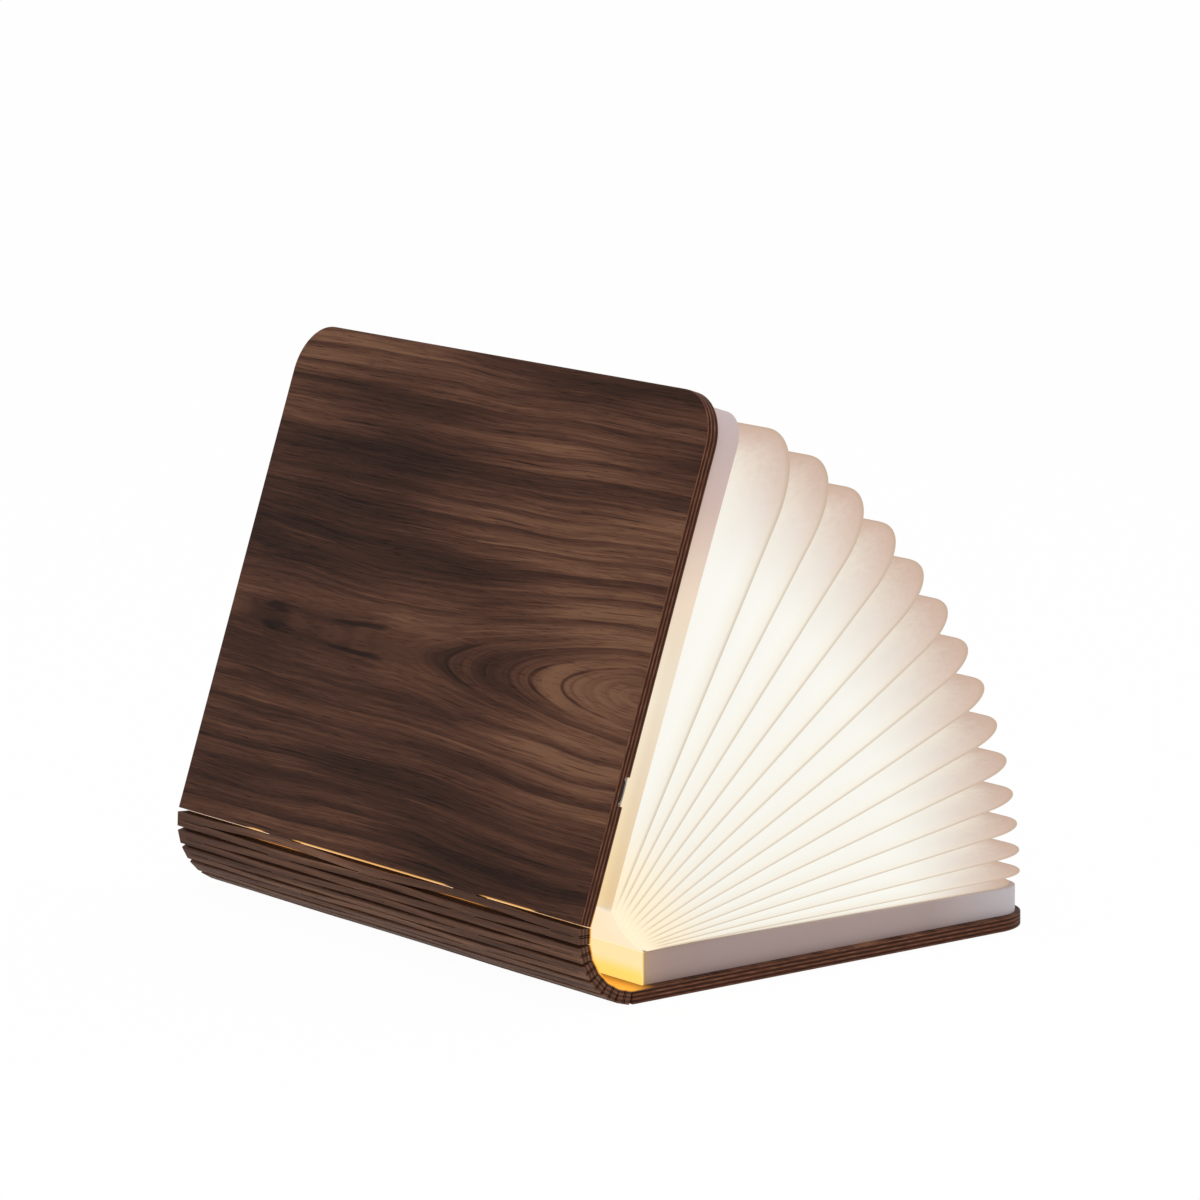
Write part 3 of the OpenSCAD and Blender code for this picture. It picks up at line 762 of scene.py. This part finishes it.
def turned_about_line(k, points, degrees):
    """Flat points with each one turned about fold line k by its own angle, in the standing book."""
    centre = flat_line(k)
    dx, dz = points[..., 0] - centre[0], points[..., 2] - centre[1]
    c, s = np.cos(np.radians(degrees)), np.sin(np.radians(degrees))
    out = np.stack([centre[0] + c * dx + s * dz, points[..., 1], centre[1] - s * dx + c * dz], -1)
    return carry(folded(k - 1), out)


def swept_bar(k, x_low, x_high, y_stations, twist, low_cut=CHAMFER, high_cut=CHAMFER):
    """A bar along y. twist gives the share of the bend at fold line k for each y."""
    ys = np.asarray(y_stations, float)
    section = bar_section(x_low, x_high, low_cut, high_cut)
    flat = np.empty((len(ys), len(section), 3))
    flat[..., 0], flat[..., 1], flat[..., 2] = section[:, 0], ys[:, None], section[:, 1]
    shares = np.broadcast_to(np.asarray(twist(ys))[:, None], flat.shape[:2])
    points, faces = tube(turned_about_line(k, flat, bend_rest * shares))
    return points, faces, flat.reshape(-1, 3)


def towards_bridge(ys):
    """0 at the slat's own bridges (y = 0 and the ends) and 1 at the bridges to a neighbour (y = 49.5)."""
    from_own = np.abs((np.abs(ys) + bridge_pitch / 2) % bridge_pitch - bridge_pitch / 2) - bridge_l / 2
    return eased(from_own / (bridge_pitch / 2 - bridge_l))


def slat(k):
    """Slat k, between fold lines k and k + 1, with its two bars and its bridges."""
    high, low = -(k - 1) * line_pitch - kerf / 2, -k * line_pitch + kerf / 2
    split_high, split_low = (high + low + kerf) / 2, (high + low - kerf) / 2
    left_turn, right_turn = 1.0 if k == 1 else 0.5, 1.0 if k == SLATS else 0.5
    ys = np.linspace(-half_l, half_l, 109)
    left = swept_bar(k, split_high, high, ys, lambda y: 1 - left_turn * towards_bridge(y), high_cut=OUTER_CHAMFER)
    right = swept_bar(k + 1, low, split_low, ys, lambda y: right_turn * towards_bridge(y), low_cut=OUTER_CHAMFER)
    parts = [left, right]
    end_y = half_l - end_bridge_l / 2
    for y, length in ((-end_y, end_bridge_l), (0, bridge_l), (end_y, end_bridge_l)):
        span = y + np.array([-length / 2, length / 2])
        parts.append(swept_bar(k, split_low - overlap, split_high + overlap, span, lambda n: np.ones(len(n))))
    for y in (-bridge_pitch / 2, bridge_pitch / 2):
        span = y + np.array([-bridge_l / 2, bridge_l / 2])
        outer_left = high + (kerf if k == 1 else kerf / 2)
        outer_right = low - (kerf if k == SLATS else kerf / 2)
        parts.append(swept_bar(k, high - overlap, outer_left, span, lambda n: np.full(len(n), 1 - left_turn)))
        parts.append(swept_bar(k + 1, outer_right, low + overlap, span, lambda n: np.full(len(n), right_turn)))
    points, faces = joined([(p, f) for p, f, _ in parts])
    flat = np.concatenate([place for _, _, place in parts])
    made = piece(f"slat_{k}_bars", points, faces, slat_wood_with_painted_light, sharp=25, place=flat)
    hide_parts(f"slat_{k}")
    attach(made, f"slat_{k}")


for k in range(1, SLATS + 1):
    slat(k)
print(SLATS, "slats of two bars each")

# %% [markdown]
# ## The bellows
# One long sheet is pleated into leaves, like the pages of a book. A leaf is a fold that stands outwards: it
# starts at the root next to the spine, runs along the near side, round a corner, down the fore-edge and back
# along the far side. Between two leaves the paper dips inwards to a valley. So each pleat is a surface of
# two parameters: s runs round the leaf and t runs across, from one fold over the valley to the next fold.
#
# Where a leaf stands follows from the closed book, where all leaves lie stacked, and from the joints: the
# closing moves are undone one after the other.

# %% Where the leaves stand
block_start, block_inset = 6.0, 3.0
block_end, root_x = cover_w - block_inset, block_start + 0.5
base_block = {"spine": 10.1, "edge": 8.2}
front_block = {"spine": 8.1, "edge": 10.3}
leaf_half, leaf_bulge, pleat_depth = half_l - 2.5, 4.0, 33.0


def mix(a, b, share):
    return a + (b - a) * share


def block_top(block, x):
    """Height of a tapered block over its cover at a distance from the spine."""
    return mix(block["spine"], block["edge"], (x - block_start) / (block_end - block_start))


closed_face = carry(folded(LINES, bend_closed), [front_x, 0, cover_t])[2]


def stacked(i, x):
    """Height of leaf i in the closed book, where leaf 0 is the front block and the last one the base block."""
    return mix(closed_face - block_top(front_block, x), cover_t + block_top(base_block, x), i / (LEAVES + 1))


def joint_turn(name, share):
    """The turn of one joint while the book closes."""
    centre = np.array(joints[name]["pos_m"])[[0, 2]] / MM
    return turn_about(centre, share * closing)


cover_closing = folded(LINES, bend_closed) @ np.linalg.inv(front_place)


def leaf_place(i):
    """The move from leaf i's own frame (x from its root, z along its normal) to the standing book."""
    tilt = math.degrees(math.atan2(stacked(i, block_end) - stacked(i, root_x), block_end - root_x))
    lying = shift_by(hinge_x + root_x, stacked(i, root_x)) @ turn_about((0, 0), -tilt)
    close = cover_closing
    for j in range(1, min(i, LEAVES) + 1):
        close = close @ joint_turn(f"seam_{j}", couplings[f"seam_{j}"])
    if i > LEAVES:
        return lying
    return np.linalg.inv(close) @ lying


leaf_places = [leaf_place(i) for i in range(LEAVES + 2)]
leaf_bodies = ["front_cover"] + [f"leaf_{i}" for i in range(1, LEAVES + 1)] + ["base"]
print("leaves stand at", [round(math.degrees(math.atan2(m[1, 0], m[0, 0])), 1) for m in leaf_places])

# %% [markdown]
# Seen flat, a leaf is a rectangle with two round corners at the fore-edge. Each corner is a superellipse,
# |u|^2.1 + |v|^2.1 = 1. The leaves that stand up puff more, so their corners are larger, and the leaves in
# the middle of the fan reach a little further. The faces of the two blocks, which the first and the last
# pleat are glued to, have a smaller outline.

# %% The outline of a leaf
SIDE_POINTS, CORNER_STEPS, EDGE_POINTS = 39, 17, 22
CURVE_POWER = 2.1
glued_inset = 2.2


def leaf_reach(i):
    """How far leaf i reaches from its root."""
    return cover_w - root_x + leaf_bulge * math.sin(math.radians(180 * i / (LEAVES + 1)))


def round_leaf(i, inset, start=1.5):
    """Points round leaf i at an inset from its edge, from the near root to the far one, in its own frame.
    A corner is long along x and wide along y, and both shrink with the inset."""
    glued = glued_inset if i in (0, LEAVES + 1) else 0.0
    to, half = leaf_reach(i) - inset - glued, leaf_half - inset - glued
    upright = 1 - i / (LEAVES + 1)
    share = max(1 - inset / 24, 0.15)
    long, wide = (14.0 + 16.0 * upright) * share, (13.0 + 9.0 * upright) * share
    t = np.linspace(0, 1, SIDE_POINTS + 1)[:-1]
    side = np.stack([mix(start, to - long, t), np.full(SIDE_POINTS, -half), np.zeros(SIDE_POINTS)], -1)
    a = np.radians(np.linspace(0, 90, CORNER_STEPS))
    u, v = np.sin(a) ** (2 / CURVE_POWER), np.cos(a) ** (2 / CURVE_POWER)
    arc = np.stack([to - long + long * u, -half + wide - wide * v, np.zeros(CORNER_STEPS)], -1)
    t = np.linspace(0, 1, EDGE_POINTS + 2)[1:-1]
    edge = np.stack([np.full(EDGE_POINTS, to), mix(-half + wide, half - wide, t), np.zeros(EDGE_POINTS)], -1)
    near = np.concatenate([side, arc])
    return np.concatenate([near, edge, (near * [1, -1, 1])[::-1]])


print(len(round_leaf(1, 0)), "points round a leaf")


# %% [markdown]
# Across a pleat, the first half goes from one leaf's fold to the valley, in the middle between both leaves,
# and the second half goes back to the other fold. Each half bulges a little, as paper does that has air and
# light behind it: a share of the gap, times sin(pi t). The surface gets its thickness from a second grid,
# moved inwards along the normals, and the two are stitched into one closed sheet.

# %% Sheets of paper
PAPER = 0.09
FLANK = 8
PUFF = 0.07
ZONES = [2.0, 5, 8, 11, 14, 18, 23, 29, 36, 45, 56, 70, 87, 108, 134, 1000]


def closed_sheet(grid, inwards):
    """A closed sheet of paper from a grid (s, t, 3). inwards is a point on the side to which it thickens."""
    ds, dt = np.gradient(grid, axis=0), np.gradient(grid, axis=1)
    normal = np.cross(ds, dt)
    normal /= np.maximum(np.linalg.norm(normal, axis=-1, keepdims=True), 1e-9)
    away = np.sign(((inwards - grid) * normal).sum(-1).mean())
    rows, columns = grid.shape[:2]
    points = np.concatenate([grid.reshape(-1, 3), (grid + PAPER * away * normal).reshape(-1, 3)])
    top = grid_faces(rows, columns, closed_round=False)
    count = rows * columns
    bottom = [[n + count for n in f[::-1]] for f in top]
    border = list(range(columns)) + [r * columns + columns - 1 for r in range(1, rows)]
    border += list(range((rows - 1) * columns + columns - 2, (rows - 1) * columns - 1, -1))
    border += [r * columns for r in range(rows - 2, 0, -1)]
    rim = [[a, a + count, b + count, b] for a, b in zip(border, border[1:] + border[:1])]
    return points, facing_out(points, top + bottom + rim)


def on_both_sides(**values):
    """Values for the points of a closed sheet, which has its grid's points twice."""
    return {key: np.tile(value.ravel(), 2) for key, value in values.items()}


def pleat_grid(i):
    """Points (s, t, 3) of the pleat between leaves i - 1 and i, and each point's depth and reach."""
    fold_a = carry(leaf_places[i - 1], round_leaf(i - 1, 0))
    fold_b = carry(leaf_places[i], round_leaf(i, 0))
    valley = (carry(leaf_places[i - 1], round_leaf(i - 1, pleat_depth))
              + carry(leaf_places[i], round_leaf(i, pleat_depth))) / 2
    t = np.linspace(0, 1, FLANK)[:, None, None]
    puff = PUFF * np.sin(math.pi * t) * (fold_b - fold_a)
    first = mix(fold_a, valley, t) + puff
    second = mix(fold_b, valley, t) - puff
    grid = np.concatenate([first, second[::-1][1:]]).transpose(1, 0, 2)
    depth = np.concatenate([t[:, 0, 0], t[::-1, 0, 0][1:]])
    depth = np.broadcast_to(depth, grid.shape[:2])
    reach_fold, reach_valley = round_leaf(i, 0)[:, 0], round_leaf(i, pleat_depth)[:, 0]
    reach = mix(reach_fold[:, None], reach_valley[:, None], depth)
    return grid, depth, reach


def bend_by_zones(made, i, reach):
    weights = np.zeros(len(reach), np.float32)
    for near, far in zip(ZONES, ZONES[1:]):
        start = carry(leaf_places[i - 1], [near, 0, 0]) * MM
        end = carry(leaf_places[i], [near, 0, 0]) * MM
        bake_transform(made, leaf_bodies[i - 1], leaf_bodies[i], tuple(start.tolist()), tuple(end.tolist()))
        zone = np.zeros(len(reach), np.float32)
        made.data.attributes["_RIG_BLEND"].data.foreach_get("value", zone)
        inside = (reach >= (0 if near == ZONES[0] else near)) & (reach < far)
        weights[inside] = zone[inside]
    made.data.attributes["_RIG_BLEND"].data.foreach_set("value", weights)


heart = np.array([hinge_x + 60, 0, 50.0])
for i in range(1, LEAVES + 2):
    grid, depth, reach = pleat_grid(i)
    if i <= LEAVES:
        points, faces = closed_sheet(grid, heart)
        twice = on_both_sides(depth=depth, reach=reach)
        made = piece(f"bellows_{i}", points, faces, leaf_paper, sharp=60, **twice)
        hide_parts(f"pleat_{i}")
        bend_by_zones(made, i, twice["reach"])
    else:
        for columns, body in ((slice(0, FLANK), leaf_bodies[-2]), (slice(FLANK - 1, None), "base")):
            points, faces = closed_sheet(grid[:, columns], heart)
            twice = on_both_sides(depth=depth[:, columns], reach=reach[:, columns])
            made = piece(f"bellows_{i}_{body}", points, faces, leaf_paper, sharp=60, **twice)
            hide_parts(f"pleat_{i}")
            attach(made, body)
print(LEAVES + 1, "pleats")

# %% [markdown]
# ## Folds and the sheet behind
# Along its outer fold the paper is pressed to a narrow rounded edge. It is a thin tube along the line round
# the leaf. Behind the roots a strip from leaf to leaf closes the bellows towards the spine. It is the
# brightest paper of all, because the row of light chips stands just in front of it.

# %% Fold edges and root strips
FOLD_SIDES = 8
FOLD_RADIUS = 0.12


def tube_along(path, radius, sides):
    """A tube round a path: each ring is spanned by two directions at right angles to the path."""
    along = np.gradient(path, axis=0)
    along /= np.linalg.norm(along, axis=1, keepdims=True)
    up = np.cross(along, [0, 0, 1.0])
    up /= np.linalg.norm(up, axis=1, keepdims=True)
    side = np.cross(along, up)
    a = np.linspace(0, 2 * math.pi, sides, endpoint=False)
    rings = path[:, None] + radius * (np.cos(a)[:, None] * up[:, None] + np.sin(a)[:, None] * side[:, None])
    return tube(rings)


for i in range(1, LEAVES + 1):
    path = round_leaf(i, 0.1)
    own, faces = tube_along(path, FOLD_RADIUS, FOLD_SIDES)
    reach = np.repeat(path[:, 0], FOLD_SIDES)
    made = piece(f"leaf_{i}_fold", carry(leaf_places[i], own), faces, leaf_paper,
                 depth=np.zeros(len(own)), reach=reach)
    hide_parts(f"crease_{i}")
    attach(made, leaf_bodies[i])

roots = [carry(m, [0.0, 0, 0]) for m in leaf_places]
behind = np.array([hinge_x - 40.0, 0, 20])
ys, across = np.linspace(-leaf_half, leaf_half, 15), np.linspace(0, 1, 4)
for i in range(1, LEAVES + 2):
    grid = mix(roots[i - 1], roots[i], across[None, :, None]) * [1, 0, 1] + ys[:, None, None] * [0, 1, 0]
    points, faces = closed_sheet(grid, behind)
    made = piece(f"root_strip_{i}", points, faces, root_paper,
                 depth=np.ones(len(points)), reach=np.zeros(len(points)))
    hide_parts("spine_sheet")
    if i <= LEAVES:
        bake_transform(made, leaf_bodies[i - 1], leaf_bodies[i], tuple((roots[i - 1] * MM).tolist()),
                 tuple((roots[i] * MM).tolist()))
    else:
        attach(made, "base")
print("folds and root strips")

# %% [markdown]
# ## Floor, light and camera
# The floor and the world are white to the camera. The light is soft and even: a white world gives most of
# it, so that a colour renders about as it is written, and one large lamp from above adds a little shape.

# %% Floor and world
FLOOR_HALF, FLOOR_Z = 6000.0, -0.02
FLOOR_GLOW = 0.97
WORLD_LIGHT = 0.65


def seen_straight(tree):
    """1 for rays from the camera and for reflections, and 0 for the rays that carry light."""
    path = add(tree, "ShaderNodeLightPath").outputs
    return maths(tree, "MAXIMUM", path["Is Camera Ray"], path["Is Glossy Ray"])


stage, tree, shader = material("white floor")
feed(tree, shader, {"Base Color": linear(252, 252, 252), "Roughness": 0.9})
white = add(tree, "ShaderNodeEmission", {"Color": (1, 1, 1, 1), "Strength": 1.0})
share = product(tree, seen_straight(tree), FLOOR_GLOW)
both = add(tree, "ShaderNodeMixShader", {0: share, 1: shader.outputs[0], 2: white.outputs[0]})
feed(tree, next(n for n in tree.nodes if n.type == "OUTPUT_MATERIAL"), {"Surface": both.outputs[0]})
corners = [[x * FLOOR_HALF, y * FLOOR_HALF, FLOOR_Z] for x, y in ((-1, -1), (1, -1), (1, 1), (-1, 1))]
floor = piece("floor", corners, [[0, 1, 2, 3]], stage)

world = bpy.data.worlds.new("white room")
bpy.context.scene.world = world
world.use_nodes = True
tree = world.node_tree
strength = maths(tree, "ADD", product(tree, seen_straight(tree), 1 - WORLD_LIGHT), WORLD_LIGHT)
feed(tree, tree.nodes["Background"], {"Color": (1, 1, 1, 1), "Strength": strength})
print("floor and world")

# %% [markdown]
# The lamp hangs high on the near side and points at the origin. The camera is given by three directions at
# right angles: to its right, up, and back towards whoever looks through it.

# %% Lamp and camera
lamp = bpy.data.lights.new("soft lamp", "AREA")
lamp.energy, lamp.size = 12.0, 1.6
lamp_object = bpy.data.objects.new("soft lamp", lamp)
bpy.context.scene.collection.objects.link(lamp_object)
lamp_object.location = (-0.5, -0.9, 1.7)
lamp_object.rotation_euler = (-lamp_object.location).to_track_quat("-Z", "Y").to_euler()

camera_place = (-1.16478, -1.51388, 0.44528)
back = np.array([-0.59668, -0.78238, 0.17850])
right = np.array([0.79416, -0.60766, -0.00892])
up = np.cross(back, right)
camera = bpy.data.cameras.new("camera")
camera.sensor_width, camera.lens, camera.clip_end = 36.0, 183.11, 100.0
camera_object = bpy.data.objects.new("camera", camera)
bpy.context.scene.collection.objects.link(camera_object)
pose = Matrix(np.column_stack([right, up, back]).tolist()).to_4x4()
pose.translation = camera_place
camera_object.matrix_world = pose
bpy.context.scene.camera = camera_object
bpy.context.scene.view_settings.view_transform = "Standard"
print("camera", round(float(np.linalg.norm(camera_place)), 2), "m from the origin")
